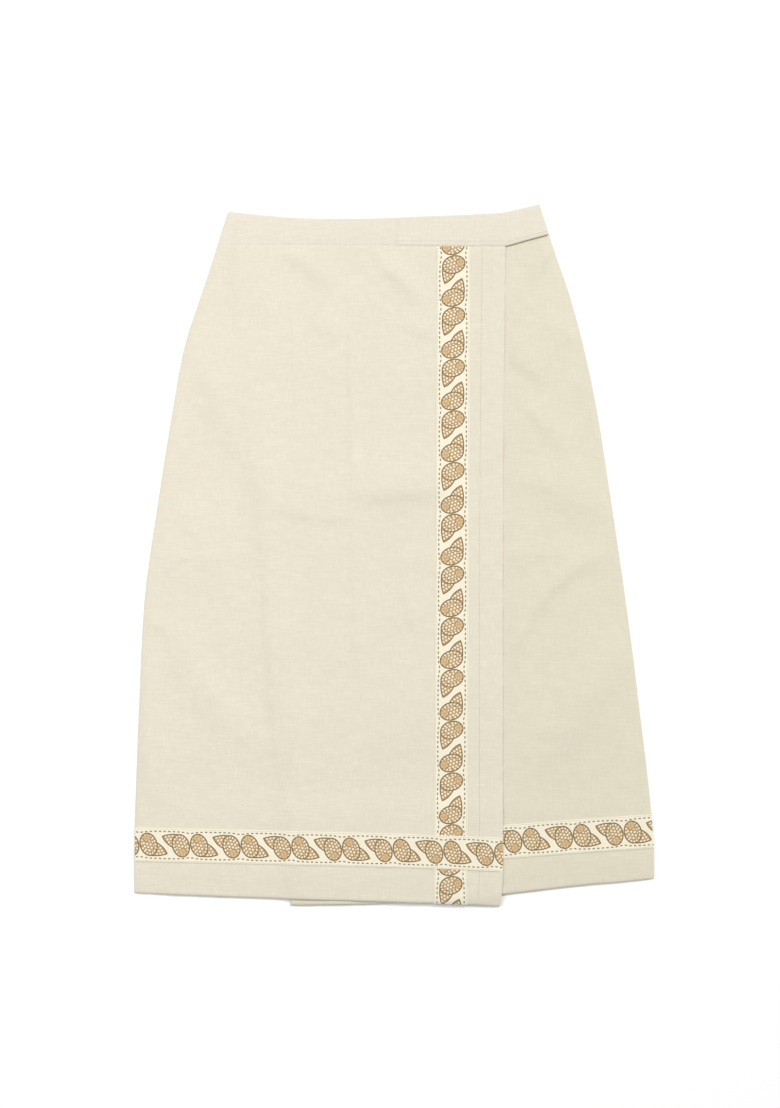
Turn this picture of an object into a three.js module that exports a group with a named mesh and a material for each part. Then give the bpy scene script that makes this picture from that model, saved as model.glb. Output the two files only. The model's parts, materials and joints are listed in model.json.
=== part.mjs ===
// A ready-made wrap dhoti laid flat, front up.
//
// The back panel lies lowest. The under-wrap is sewn to it along the right side and the over-wrap
// along the left side, and the over-wrap crosses to the right on top of the under-wrap. A folded
// waistband closes the top of each layer, and border tapes are sewn on beside the free edge and
// above the hems.
//
// Frame: millimetres, X to the right, Y from hem to waist, Z up off the surface the cloth lies on.
// Origin: the middle of the bounding box, on the resting plane.
import * as THREE from 'three';

const { clamp, lerp, smoothstep, degToRad } = THREE.MathUtils;

// ---- Driving dimensions ----

const CLOTH = 1; // wall of one layer of cloth or tape
const FOLDED = 1.6; // wall of cloth turned back on itself and pressed
const GAP = 0.3; // between neighbouring pieces, at seams and between layers
const TAPE_WIDTH = 39;
const FACING_WIDTH = 28; // the free edges are turned back this far
const PRESSED_STEP = 4; // run over which pressed cloth drops from a double wall to a single one
const STEP_RUN = 9; // run over which the over-wrap climbs onto the under-wrap
const TAPE_STEP = 5; // run over which the hem tape climbs onto the upright tape
const BAND_JOIN_X = 1.7; // the front waistband is pieced here
const BORDER_TOP = -272; // below here the layers lie further apart, over tapes and hems
const BORDER_RUN = 22;
const BACK_HEM_DEPTH = 36;
const WAIST_RUN = 46; // run over which the panels climb to the waistband
const SEAM_EASE = 60; // the swells of the cloth die away over this distance from a seam
const PANEL_STEPS = 22; // cross lines between the border and the waist

// Side seams: the left and right edge of the laid garment at each height.
const SIDES = [
  { y: 406, left: -189, right: 167.3 },
  { y: 350, left: -207, right: 185.5 },
  { y: 300, left: -223.7, right: 203 },
  { y: 240, left: -243, right: 219 },
  { y: 180, left: -254.2, right: 232 },
  { y: 60, left: -273.3, right: 251 },
  { y: -60, left: -289.5, right: 268.5 },
  { y: -180, left: -295.3, right: 283.7 },
  { y: -300, left: -299.6, right: 297.2 },
  { y: -350, left: -300.5, right: 300.5 },
  { y: -410, left: -300.5, right: 300.5 },
];

// Upright lines of the wrap: the under-wrap's hidden edge, the middle of the upright tape and the
// over-wrap's free edge.
const WRAP = [
  { y: 406, hidden: -173, tape: 68.6, free: 129.5 },
  { y: 357, hidden: -183.5, tape: 68.3, free: 128.5 },
  { y: 17, hidden: -153.4, tape: 66.9, free: 125.6 },
  { y: -243, hidden: -130.3, tape: 65.6, free: 125.3 },
  { y: -396, hidden: -117, tape: 64.8, free: 125.5 },
  { y: -410, hidden: -121.5, tape: 64.8, free: 121.5 },
];

// Upper edge of the waistband, and the seam below it.
const WAIST_EDGE = [
  { x: -191, y: 397.2 },
  { x: -160, y: 393.7 },
  { x: -102, y: 389.3 },
  { x: -45, y: 389 },
  { x: 48, y: 392.5 },
  { x: 118, y: 395 },
  { x: 141, y: 399.5 },
  { x: 167.3, y: 406 },
];
const WAIST_SEAM = [
  { x: -204, y: 359 },
  { x: 0, y: 357.6 },
  { x: 126, y: 356.9 },
  { x: 130, y: 357.6 },
  { x: 150, y: 363.2 },
  { x: 180, y: 371.4 },
];

// Lower edges: the hem fold of each panel, and the middle of the tape above it.
const OVER_WRAP_EDGE = [
  { x: -300.5, hem: -391.4, tape: -334.7 },
  { x: -144, hem: -397.2, tape: -338 },
  { x: 6, hem: -401.6, tape: -341.6 },
  { x: 64, hem: -403.6, tape: -343.6 },
  { x: 119, hem: -406, tape: -346 },
];
const UNDER_WRAP_EDGE = [
  { x: -120, hem: -405.3, tape: -344.5 },
  { x: -22, hem: -403.8, tape: -343 },
  { x: 53, hem: -398.9, tape: -338 },
  { x: 126, hem: -392.6, tape: -331.8 },
  { x: 192, hem: -384.9, tape: -326.5 },
  { x: 300.5, hem: -374, tape: -319.3 },
];
const BACK_EDGE = [
  { x: -300.5, hem: -390.6 },
  { x: -120, hem: -396 },
  { x: 126, hem: -390 },
  { x: 300.5, hem: -373.2 },
];

// Soft swells that both front layers share: centre, half length, half width, turn from X, height.
const SWELLS = [
  { x: -165, y: -75, along: 150, across: 48, turn: -62, height: 1.7 },
  { x: -30, y: 150, along: 170, across: 60, turn: 84, height: 1.4 },
  { x: 20, y: -190, along: 120, across: 55, turn: 20, height: 1.2 },
  { x: 205, y: -165, along: 110, across: 42, turn: 58, height: 1.8 },
  { x: 190, y: 70, along: 90, across: 34, turn: 48, height: 1.2 },
  { x: -130, y: 250, along: 90, across: 40, turn: 24, height: 0.9 },
];

const CREAM = new THREE.Color(0xeae3cd);
const NATURAL = new THREE.Color(0xf0ead9);

// ---- Curves ----

// A smooth curve through the rows of a table. It never overshoots them, and goes on straight past the ends.
function curve(table, from, to) {
  const rows = [...table].sort((a, b) => a[from] - b[from]);
  const at = rows.map((row) => row[from]);
  const value = rows.map((row) => row[to]);
  const last = rows.length - 1;
  const rise = at.slice(1).map((end, i) => (value[i + 1] - value[i]) / (end - at[i]));
  const slope = rows.map((_, i) => {
    if (i === 0) return rise[0];
    if (i === last) return rise[last - 1];
    const product = rise[i - 1] * rise[i];
    return product > 0 ? (2 * product) / (rise[i - 1] + rise[i]) : 0;
  });
  return (position) => {
    if (position <= at[0]) return value[0] + slope[0] * (position - at[0]);
    if (position >= at[last]) return value[last] + slope[last] * (position - at[last]);
    const i = at.findIndex((end, k) => k > 0 && position <= end) - 1;
    const span = at[i + 1] - at[i];
    const t = (position - at[i]) / span;
    const bend = t * t * (3 - 2 * t);
    const ease = t * (1 - t) * span;
    return lerp(value[i], value[i + 1], bend) + ease * ((1 - t) * slope[i] - t * slope[i + 1]);
  };
}

const shifted = (line, by) => (position) => line(position) + by;

// Lines spread evenly between named ones: each station says how many steps lead to it.
function spread(stations) {
  const lines = [stations[0].line];
  for (let i = 1; i < stations.length; i++) {
    const { line, steps } = stations[i];
    const start = stations[i - 1].line;
    for (let k = 1; k <= steps; k++) {
      lines.push((position) => lerp(start(position), line(position), k / steps));
    }
  }
  return lines;
}

// Where an upright line and a cross line meet.
function crossing(upright, cross) {
  const point = new THREE.Vector2(upright(0), 0);
  for (let i = 0; i < 8; i++) {
    point.y = cross(point.x);
    point.x = upright(point.y);
  }
  return point;
}

// From 0 at the start of a run to 1 at its end.
const ramp = (value, start, end) => clamp((value - start) / (end - start), 0, 1);

// ---- Lines of the cut ----

const left = curve(SIDES, 'y', 'left');
const right = curve(SIDES, 'y', 'right');
const hidden = curve(WRAP, 'y', 'hidden');
const hiddenFacing = shifted(hidden, FACING_WIDTH);
const tapeMiddle = curve(WRAP, 'y', 'tape');
const tapeLeft = shifted(tapeMiddle, -TAPE_WIDTH / 2);
const tapeRight = shifted(tapeMiddle, TAPE_WIDTH / 2);
const free = curve(WRAP, 'y', 'free');
const facing = shifted(free, -FACING_WIDTH);

const waistEdge = curve(WAIST_EDGE, 'x', 'y');
const waistSeam = curve(WAIST_SEAM, 'x', 'y');
const panelTop = shifted(waistSeam, -GAP);
const waistFoot = shifted(waistSeam, -WAIST_RUN);
const borderTop = () => BORDER_TOP;
const borderFoot = () => BORDER_TOP - BORDER_RUN;

const backFold = curve(BACK_EDGE, 'x', 'hem');
const backHem = { fold: backFold, turned: shifted(backFold, BACK_HEM_DEPTH) };
const overHem = tapedHem(OVER_WRAP_EDGE);
const underHem = tapedHem(UNDER_WRAP_EDGE);

// Fold of a hem, the top of its turned cloth, and the edges of the tape sewn just above that.
function tapedHem(edge) {
  const tape = curve(edge, 'x', 'tape');
  return {
    fold: curve(edge, 'x', 'hem'),
    turned: shifted(tape, -TAPE_WIDTH / 2 - PRESSED_STEP),
    tapeBottom: shifted(tape, -TAPE_WIDTH / 2),
    tapeTop: shifted(tape, TAPE_WIDTH / 2),
  };
}

// ---- Heights of the layers ----

// The soft swell shared by the front layers. It dies away at the side seams and at the waist.
function swell(x, y) {
  let height = 0;
  for (const fold of SWELLS) {
    const turn = degToRad(fold.turn);
    const dx = x - fold.x;
    const dy = y - fold.y;
    const along = (dx * Math.cos(turn) + dy * Math.sin(turn)) / fold.along;
    const across = (dy * Math.cos(turn) - dx * Math.sin(turn)) / fold.across;
    height += fold.height * Math.exp(-along * along - across * across);
  }
  const fromSides = Math.min(x - left(y), right(y) - x);
  const fromWaist = waistSeam(x) - y;
  return height * smoothstep(fromSides, 0, SEAM_EASE) * smoothstep(fromWaist, 0, SEAM_EASE);
}

const nearWaist = (x, y) => smoothstep(y, waistFoot(x), panelTop(x));
const inBorder = (y) => ramp(y, BORDER_TOP, BORDER_TOP - BORDER_RUN);

// 1 where cloth is turned back, up to a line, and 0 a short step past it.
const turnedBack = (position, line) => 1 - ramp(position, line, line + PRESSED_STEP);

const ONE_LAYER = CLOTH + GAP;
const FOLD_RISE = FOLDED - CLOTH;
const BAND_LAYER = FOLDED + GAP;

// Underside of a layer that lies on the back panel.
function onBack(x, y) {
  const onPanel = ONE_LAYER + FOLD_RISE * inBorder(y);
  const atBand = BAND_LAYER + FOLD_RISE / 2;
  return lerp(onPanel, atBand, nearWaist(x, y)) + swell(x, y);
}

const hiddenTurn = (x, y) => turnedBack(x, hiddenFacing(y));

function backTop(x, y) {
  return CLOTH + FOLD_RISE * turnedBack(y, backHem.turned(x));
}

function underWrapTop(x, y) {
  const turned = Math.max(hiddenTurn(x, y), turnedBack(y, underHem.turned(x)));
  return onBack(x, y) + CLOTH + FOLD_RISE * turned;
}

// How far the over-wrap has climbed onto the under-wrap, past its hidden edge.
const climbed = (x, y) => ramp(x, hidden(y) - STEP_RUN, hidden(y));

function overWrapUnder(x, y) {
  const onTurned = FOLD_RISE * Math.max(hiddenTurn(x, y), nearWaist(x, y));
  const onTape = ONE_LAYER * inBorder(y);
  return onBack(x, y) + climbed(x, y) * (ONE_LAYER + onTurned + onTape);
}

function overWrapTop(x, y) {
  const freeTurn = ramp(x, facing(y) - PRESSED_STEP, facing(y));
  const turned = Math.max(freeTurn, turnedBack(y, overHem.turned(x)));
  return overWrapUnder(x, y) + CLOTH + FOLD_RISE * turned;
}

// Underside of the over-wrap's hem tape, which crosses the upright tape near the free edge.
function overHemTapeUnder(x, y) {
  const onto = ramp(x, tapeLeft(y) - TAPE_STEP, tapeLeft(y));
  const off = ramp(x, tapeRight(y) + TAPE_STEP, tapeRight(y));
  return overWrapTop(x, y) + GAP + ONE_LAYER * Math.min(onto, off);
}

const frontBandUnder = (x, y) => BAND_LAYER * (1 + climbed(x, y));

const flat = (height) => () => height;
const raised = (surface, by) => (x, y) => surface(x, y) + by;

// ---- Walls ----

const group = new THREE.Group();

// A closed wall on a net of upright and cross lines, from its underside to its upper side.
function addWall(name, colour, { uprights, crosses, under, over }) {
  const wide = uprights.length;
  const tall = crosses.length;
  const points = [];
  for (const height of [under, over]) {
    for (const cross of crosses) {
      for (const upright of uprights) {
        const { x, y } = crossing(upright, cross);
        points.push(x, y, height(x, y));
      }
    }
  }
  const lower = (row, column) => row * wide + column;
  const upper = (row, column) => wide * tall + lower(row, column);
  const faces = [];
  const quad = (a, b, c, d) => faces.push(a, b, c, a, c, d);
  const east = wide - 1;
  const north = tall - 1;
  for (let row = 0; row < north; row++) {
    const next = row + 1;
    for (let column = 0; column < east; column++) {
      const beside = column + 1;
      quad(upper(row, column), upper(row, beside), upper(next, beside), upper(next, column));
      quad(lower(row, column), lower(next, column), lower(next, beside), lower(row, beside));
    }
    quad(lower(row, 0), upper(row, 0), upper(next, 0), lower(next, 0));
    quad(lower(row, east), lower(next, east), upper(next, east), upper(row, east));
  }
  for (let column = 0; column < east; column++) {
    const beside = column + 1;
    quad(lower(0, column), lower(0, beside), upper(0, beside), upper(0, column));
    quad(lower(north, column), upper(north, column), upper(north, beside), lower(north, beside));
  }
  const geometry = new THREE.BufferGeometry();
  geometry.setAttribute('position', new THREE.Float32BufferAttribute(points, 3));
  geometry.setIndex(faces);
  geometry.computeVertexNormals();
  const material = new THREE.MeshStandardMaterial({ color: colour, roughness: 0.9, metalness: 0 });
  const mesh = new THREE.Mesh(geometry, material);
  mesh.name = name;
  group.add(mesh);
}

// Uprights. The two front layers share theirs, so that stacked walls fold along the same lines.
const climb = [
  { line: left },
  { line: shifted(hidden, -STEP_RUN), steps: 4 },
  { line: hidden, steps: 1 },
];
const overlapStations = [
  { line: hidden },
  { line: hiddenFacing, steps: 1 },
  { line: shifted(hiddenFacing, PRESSED_STEP), steps: 1 },
  { line: shifted(tapeLeft, -TAPE_STEP), steps: 6 },
  { line: tapeLeft, steps: 1 },
  { line: tapeRight, steps: 2 },
  { line: shifted(tapeRight, TAPE_STEP), steps: 1 },
  { line: shifted(facing, -PRESSED_STEP), steps: 1 },
  { line: facing, steps: 1 },
  { line: free, steps: 2 },
];
const pastFreeEdge = { line: right, steps: 5 };
const overUprights = spread([...climb, ...overlapStations.slice(1)]);
const underUprights = spread([...overlapStations, pastFreeEdge]);
const backUprights = spread([{ line: left }, { line: free, steps: 5 }, pastFreeEdge]);
const tapeUprights = spread([{ line: tapeLeft }, { line: tapeRight, steps: 2 }]);

// Crosses. Above the border all panels share theirs, up to the waist seam.
const aboveBorder = [
  { line: borderFoot, steps: 1 },
  { line: borderTop, steps: 1 },
  { line: waistFoot, steps: PANEL_STEPS },
  { line: panelTop, steps: 3 },
];
const hemStations = ({ fold, turned }) => [
  { line: fold },
  { line: turned, steps: 1 },
  { line: shifted(turned, PRESSED_STEP), steps: 1 },
];
const tapedCrosses = (hem) => spread([...hemStations(hem), { line: hem.tapeTop, steps: 3 }, ...aboveBorder]);
const tapeCrosses = ({ tapeBottom, tapeTop }) => spread([{ line: tapeBottom }, { line: tapeTop, steps: 3 }]);
const backCrosses = spread([...hemStations(backHem), ...aboveBorder]);
const bandCrosses = spread([{ line: waistSeam }, { line: waistEdge, steps: 3 }]);

addWall('back_panel', CREAM, {
  uprights: backUprights, crosses: backCrosses, under: flat(0), over: backTop,
});
addWall('front_under_wrap', CREAM, {
  uprights: underUprights, crosses: tapedCrosses(underHem), under: onBack, over: underWrapTop,
});
addWall('front_over_wrap', CREAM, {
  uprights: overUprights, crosses: tapedCrosses(overHem), under: overWrapUnder, over: overWrapTop,
});

addWall('border_tape_under_wrap', NATURAL, {
  uprights: underUprights,
  crosses: tapeCrosses(underHem),
  under: raised(underWrapTop, GAP),
  over: raised(underWrapTop, GAP + CLOTH),
});
addWall('border_tape_upright', NATURAL, {
  uprights: tapeUprights,
  crosses: tapedCrosses(overHem),
  under: raised(overWrapTop, GAP),
  over: raised(overWrapTop, GAP + CLOTH),
});
addWall('border_tape_over_wrap', NATURAL, {
  uprights: overUprights,
  crosses: tapeCrosses(overHem),
  under: overHemTapeUnder,
  over: raised(overHemTapeUnder, CLOTH),
});

addWall('waistband_back', NATURAL, {
  uprights: backUprights, crosses: bandCrosses, under: flat(0), over: flat(FOLDED),
});
addWall('waistband_under_wrap', NATURAL, {
  uprights: spread([{ line: hidden }, { line: free, steps: 8 }, pastFreeEdge]),
  crosses: bandCrosses,
  under: flat(BAND_LAYER),
  over: flat(BAND_LAYER + FOLDED),
});
addWall('waistband_over_wrap', NATURAL, {
  uprights: spread([...climb, { line: flat(BAND_JOIN_X - GAP), steps: 6 }]),
  crosses: bandCrosses,
  under: frontBandUnder,
  over: raised(frontBandUnder, FOLDED),
});
addWall('waistband_wrap_end', NATURAL, {
  uprights: spread([{ line: flat(BAND_JOIN_X) }, { line: free, steps: 4 }, pastFreeEdge]),
  crosses: bandCrosses,
  under: frontBandUnder,
  over: raised(frontBandUnder, FOLDED),
});

export default group;
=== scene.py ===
"""A ready-made wrap dhoti laid flat: cream cloth, folded waistband and printed border tapes."""
import json
import math
import random
from collections import namedtuple

import bmesh
import bpy
import numpy as np
from bpy.props import FloatProperty, FloatVectorProperty, PointerProperty
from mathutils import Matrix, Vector
from mathutils.bvhtree import BVHTree

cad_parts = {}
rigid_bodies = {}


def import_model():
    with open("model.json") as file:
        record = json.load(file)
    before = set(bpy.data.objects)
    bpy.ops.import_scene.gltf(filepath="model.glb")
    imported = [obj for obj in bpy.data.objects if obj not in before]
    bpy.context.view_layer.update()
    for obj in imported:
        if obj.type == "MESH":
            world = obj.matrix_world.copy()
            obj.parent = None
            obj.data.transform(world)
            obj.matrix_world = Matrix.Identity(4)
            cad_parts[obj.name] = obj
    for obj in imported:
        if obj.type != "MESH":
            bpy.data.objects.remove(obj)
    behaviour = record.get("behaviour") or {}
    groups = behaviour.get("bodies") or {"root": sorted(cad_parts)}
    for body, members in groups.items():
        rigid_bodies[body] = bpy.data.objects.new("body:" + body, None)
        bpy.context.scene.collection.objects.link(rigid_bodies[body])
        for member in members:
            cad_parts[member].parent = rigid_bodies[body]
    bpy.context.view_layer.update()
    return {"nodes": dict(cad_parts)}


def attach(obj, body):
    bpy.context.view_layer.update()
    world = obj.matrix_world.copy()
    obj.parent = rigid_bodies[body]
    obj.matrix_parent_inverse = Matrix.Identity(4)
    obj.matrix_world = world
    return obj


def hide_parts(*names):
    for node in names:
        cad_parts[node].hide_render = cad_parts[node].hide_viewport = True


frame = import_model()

bl_info = {
    "name": "Wrap dhoti",
    "version": (1, 0, 0),
    "blender": (4, 5, 0),
    "location": "View3D > Sidebar > Dhoti",
    "description": "Cloth, border tapes and topstitching of a wrap dhoti laid flat",
    "category": "Object",
}

MM = 0.001
BODY = "root"

# ---- Named sizes, millimetres ----
# A run says where an effect starts and ends, from an edge unless it says along X.

FACING_WIDTH = 28  # the free edges are turned back this far
HEM_TURNING = 35
FOLD_EDGE = 5  # a turned-back layer thins out over this
TUCKED_IN = 0.45  # the panels go this far into the waistband
BACK_WALL = 0.95
BAND_EXTRA = 0.15  # the waistband is this much thicker than cloth turned back once
MIDDLE_HEIGHT = 4  # about the middle of the layers

SEAM_DIP = 0.3
SEAM_DIP_REACH = 2.4
SEAM_DIP_RUN = (-6, 6)  # along X
WAIST_SEAM_RUN = (0, 8)  # creases and short waves come in over these two
SIDE_SEAM_RUN = (-2, 14)
LONG_WAVE_RUN = (0, 30)
SMOOTHER_RUN = (5, 30)  # below the waist, where the steps over the layers grow softer
UNCOVERED_RUN = (124, 146)  # along X, where the under-wrap comes out from below
SIDE_ROLL = 0.7
SIDE_ROLL_RUN = (0, 9)
SIDE_RISE = 1.0
SIDE_RISE_RUN = (4, 52)
WAIST_RISE_RUN = (0, 70)
FREE_EDGE_PRESS = 0.65
FREE_EDGE_RUN = (0, 15)
PRESSED_RUN = (0, 3)  # the edges are pressed to one layer here
HEM_DROOP = 0.4
HEM_DROOP_RUN = (0, 30)
HEM_LIP = 1.0
HEM_LIP_RUN = (0, 1.3)
UNDER_LIP_FADE = ((225, 262), 0.9)  # a run along X, and the share of the lip that goes
OVER_LIP_FADE = ((84, 120), 0.6)
HEM_ROWS = (0.8, 1.8, 4.0, 7.4, 11.2)  # the rows of points nearest the hem lie this far from it
HEM_SAG = 2.4  # where the over-wrap passes beyond the under-wrap's hem
HEM_SAG_RUN = (0, 12)
LONG_WAVES = (9, 45, 190)  # how many, and the shortest and the longest
SHORT_WAVES = (20, 10, 45)

WRAP_END_LIFT = 1.0
WRAP_END_RUN = (126, 134)  # along X, past the free edge
BAND_PRESS = 0.6
BAND_TOP_PRESS = 0.25
TAPE_LIFT = 0.12

STITCH_LENGTH = 2.5
STITCH_PITCH = 3.3
STITCH_THICKNESS = 0.42
STITCH_RISE = 0.06  # the middle of a stitch lies this far above the cloth
HEM_REPEAT = 58.6  # a pair of shells on the hem tapes
UPRIGHT_REPEAT = 59.8  # and on the upright tape
OVER_HEM_PHASE = -236.5  # where two shells touch: X on the hem tapes, Y on the upright one
UNDER_HEM_PHASE = 147.8
UPRIGHT_PHASE = 346.7

# ---- Other named numbers ----

BACK_NET = 2  # a net's spacing, as a share of the front panels'
BAND_NET = 0.8
TAPE_NET = 0.75
TAPE_THREADS = 0.7  # the pitch of the tape's threads, as a share of the cloth's
EDGE_ROUNDING = 0.3  # a share of the wall
ROUNDED_FROM = 50  # degrees between faces
SMOOTH_UP_TO = 60
FACES_DOWN = -0.3  # Z of a point's outward direction
CREASE_COMES = (-0.12, 0.3)  # shares of a crease's length
CREASE_GOES = (0.66, 1.12)
SOFTENING = 3  # rounds of smoothing where cloth steps over the layers below
MORE_SOFTENING = 10  # away from the waist
LEAST_SOFTENING = 2  # on the back panel and the tapes
UNDER_SEED = 5
OVER_SEED = 12
SHORT_WAVES_SEED = 100  # added to a panel's own
BAND_SEED = 30
BAND_PRESSED = (0, 0.4)  # shares of the band's width, from its seam

# Creases and soft folds: ends, half widths of the side that faces down or left and of the other side,
# height, how far the middle bows out, and the power of the profile, 1 for a pressed fold.
Crease = namedtuple("Crease", "x0 y0 x1 y1 steep gentle height bow power", defaults=(0, 2))
OVER_CREASES = [
    Crease(-53, 304, -48, 56, 3.4, 9, 1.0, 1),
    Crease(-49, 66, -40, -172, 3.6, 12, 0.9, -1),
    Crease(-118, 300, -113, 130, 4.0, 8, 0.6, 1),
    Crease(-98, 40, -94, -132, 4.0, 16, 0.6, 1),
    Crease(-153, 46, -136, -250, 5.5, 26, 1.0, 1),
    Crease(-228, 250, -142, 62, 20, 40, 2.7, -5),
    Crease(-147, 104, -150, -18, 24, 24, 1.5, -2),
    Crease(-56, 72, 80, 76, 13, 38, 2.8, 2),
    Crease(-158, 60, -36, 42, 9, 36, 1.5, -3),
    Crease(-300, -2, -140, -4, 17, 26, 1.2, 0, 1),
    Crease(-256, -64, -140, -234, 22, 24, 2.5, -22),
    Crease(-312, -90, -284, -290, 22, 26, 2.6, -4),
    Crease(-289, -70, -262, -96, 5, 10, 1.0, 1),
    Crease(-130, 353, -68, 310, 10, 15, 1.8, 2),
    Crease(-98, 270, -54, 246, 10, 16, 1.2, 2),
    Crease(-14, 338, 34, 286, 9, 16, 2.5, 3),
    Crease(-26, 352, -4, 322, 6, 10, 0.6, 1),
    Crease(4, 266, 52, 254, 7, 14, 1.1, 1),
    Crease(-152, 350, -138, 236, 6, 14, 0.6, -3),
    Crease(-174, 346, -156, 276, 6, 14, 0.5, 2),
    Crease(6, 2, 32, -102, 8, 22, 1.1, -3),
    Crease(4, -6, 58, -12, 12, 18, 0.9, 2),
    Crease(-30, -224, 76, -232, 10, 24, 0.5, 3),
    Crease(-252, 60, -220, 8, 10, 22, 0.8, -2),
]
UNDER_CREASES = [
    Crease(122, 234, 178, 204, 11, 34, 2.3, 3),
    Crease(150, 176, 204, 104, 8, 22, 1.5, 4),
    Crease(142, 94, 252, 40, 17, 28, 2.3, 6),
    Crease(112, 1, 222, 1, 17, 26, 1.7, 0, 1),
    Crease(126, -164, 250, 8, 10, 20, 2.7, 31),
    Crease(180, -244, 282, -84, 22, 26, 2.8, 4),
    Crease(158, 318, 200, 384, 7, 12, 2.6, 1),
    Crease(172, 270, 214, 250, 12, 18, 1.6, 2),
    Crease(216, 214, 250, 120, 12, 26, 0.8, 3),
]


def linear(red, green, blue):
    """The linear colour of screen levels from 0 to 255."""
    levels = (level / 255 for level in (red, green, blue))
    return tuple(c / 12.92 if c <= 0.04045 else ((c + 0.055) / 1.055) ** 2.4 for c in levels)


# ---- Settings a user would change ----


class DhotiCloth(bpy.types.PropertyGroup):
    net: FloatProperty(
        name="Net", description="Spacing of the points of the cloth", default=2.85 * MM, unit="LENGTH")
    wall: FloatProperty(
        name="Cloth", description="Thickness of one layer", default=0.7 * MM, unit="LENGTH")
    folded: FloatProperty(
        name="Folded", description="Thickness where the cloth is turned back", default=1.0 * MM,
        unit="LENGTH")
    tape: FloatProperty(
        name="Tape", description="Thickness of the border tape", default=0.4 * MM, unit="LENGTH")
    creasing: FloatProperty(
        name="Creasing", description="How strongly the creases show", default=1, min=0, max=3)
    unevenness: FloatProperty(
        name="Unevenness", description="Height of the long waves of the cloth", default=0.07 * MM,
        unit="LENGTH")
    ripples: FloatProperty(
        name="Ripples", description="Height of the short waves of the cloth", default=0.026 * MM,
        unit="LENGTH")
    thread_pitch: FloatProperty(
        name="Thread pitch", description="Distance between threads", default=0.62 * MM, unit="LENGTH")


class DhotiColours(bpy.types.PropertyGroup):
    panel: FloatVectorProperty(
        name="Panels", description="Unbleached cloth of the panels", subtype="COLOR",
        default=linear(225, 219, 201))
    # Set a little darker than the panels' cloth: painted shade over the whole under-wrap.
    under_wrap: FloatVectorProperty(
        name="Under-wrap", description="Unbleached cloth of the under-wrap", subtype="COLOR",
        default=linear(222, 216, 196))
    waistband: FloatVectorProperty(
        name="Waistband", description="Cloth of the waistband", subtype="COLOR",
        default=linear(226, 220, 204))
    ground: FloatVectorProperty(
        name="Tape ground", description="Unprinted cloth of the tape", subtype="COLOR",
        default=linear(236, 229, 207))
    shell: FloatVectorProperty(
        name="Shell", description="Print of the shells", subtype="COLOR",
        default=linear(170, 137, 88))
    knob: FloatVectorProperty(
        name="Knob", description="Print of the shells' solid knobs", subtype="COLOR",
        default=linear(191, 156, 106))
    outline: FloatVectorProperty(
        name="Outline", description="Printed outlines", subtype="COLOR",
        default=linear(100, 76, 43))
    dash: FloatVectorProperty(
        name="Dashes", description="Printed dashes along the tape", subtype="COLOR",
        default=linear(106, 96, 80))
    # Darker than the cloth: partly the thread's own colour, partly painted shade for the puckering
    # along the seams.
    thread: FloatVectorProperty(
        name="Thread", description="Sewing thread", subtype="COLOR",
        default=linear(196, 182, 154))
    pale_thread: FloatVectorProperty(
        name="Pale thread", description="Thread that matches the cloth", subtype="COLOR",
        default=linear(222, 213, 192))
    # Dark brown, for a row sewn right on the wrap end's lower edge: painted shade, standing in for the
    # shadow under that edge.
    painted_shade_thread: FloatVectorProperty(
        name="Painted shade thread", description="Thread along the edge of the wrap end", subtype="COLOR",
        default=linear(150, 112, 58))


class DhotiStage(bpy.types.PropertyGroup):
    camera_height: FloatProperty(
        name="Camera height", description="Height of the camera over the cloth", default=3.03,
        unit="LENGTH")
    camera_lens: FloatProperty(
        name="Lens", description="Focal length in millimetres", default=85)
    key_power: FloatProperty(
        name="Key light", description="Power of the light that brings out the creases", default=243,
        unit="POWER")
    fill_power: FloatProperty(
        name="Fill light", description="Power of the near light at the left", default=10.1,
        unit="POWER")
    surround: FloatProperty(
        name="Surround", description="Strength of the light from all round", default=0.5, min=0)


# ---- Materials ----


class Value:
    """A socket in a material's nodes. Sums on values add Math nodes."""

    def __init__(self, paint, socket):
        self.paint = paint
        self.socket = socket

    def math(self, operation, *values):
        return self.paint.node("ShaderNodeMath", {"operation": operation}, dict(enumerate(values)))

    def __add__(self, other):
        return self.math("ADD", self, other)

    __radd__ = __add__

    def __sub__(self, other):
        return self.math("SUBTRACT", self, other)

    def __rsub__(self, other):
        return self.math("SUBTRACT", other, self)

    def __mul__(self, other):
        return self.math("MULTIPLY", self, other)

    def __truediv__(self, other):
        return self.math("DIVIDE", self, other)

    def __rtruediv__(self, other):
        return self.math("DIVIDE", other, self)

    def __neg__(self):
        return self.math("MULTIPLY", self, -1)

    def __abs__(self):
        return self.math("ABSOLUTE", self)

    def __mod__(self, other):
        return self.math("FLOORED_MODULO", self, other)

    def sine(self):
        return self.math("SINE", self)

    def root(self):
        return self.math("SQRT", self)

    def sign(self):
        return self.math("SIGN", self)

    def floor(self):
        return self.math("FLOOR", self)

    def least(self, other):
        return self.math("MINIMUM", self, other)

    def most(self, other):
        return self.math("MAXIMUM", self, other)

    def ramp(self, start, end):
        """0 at start and 1 at end, eased between them."""
        return self.paint.node(
            "ShaderNodeMapRange", {"interpolation_type": "SMOOTHSTEP"}, {0: self, 1: start, 2: end})


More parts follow.
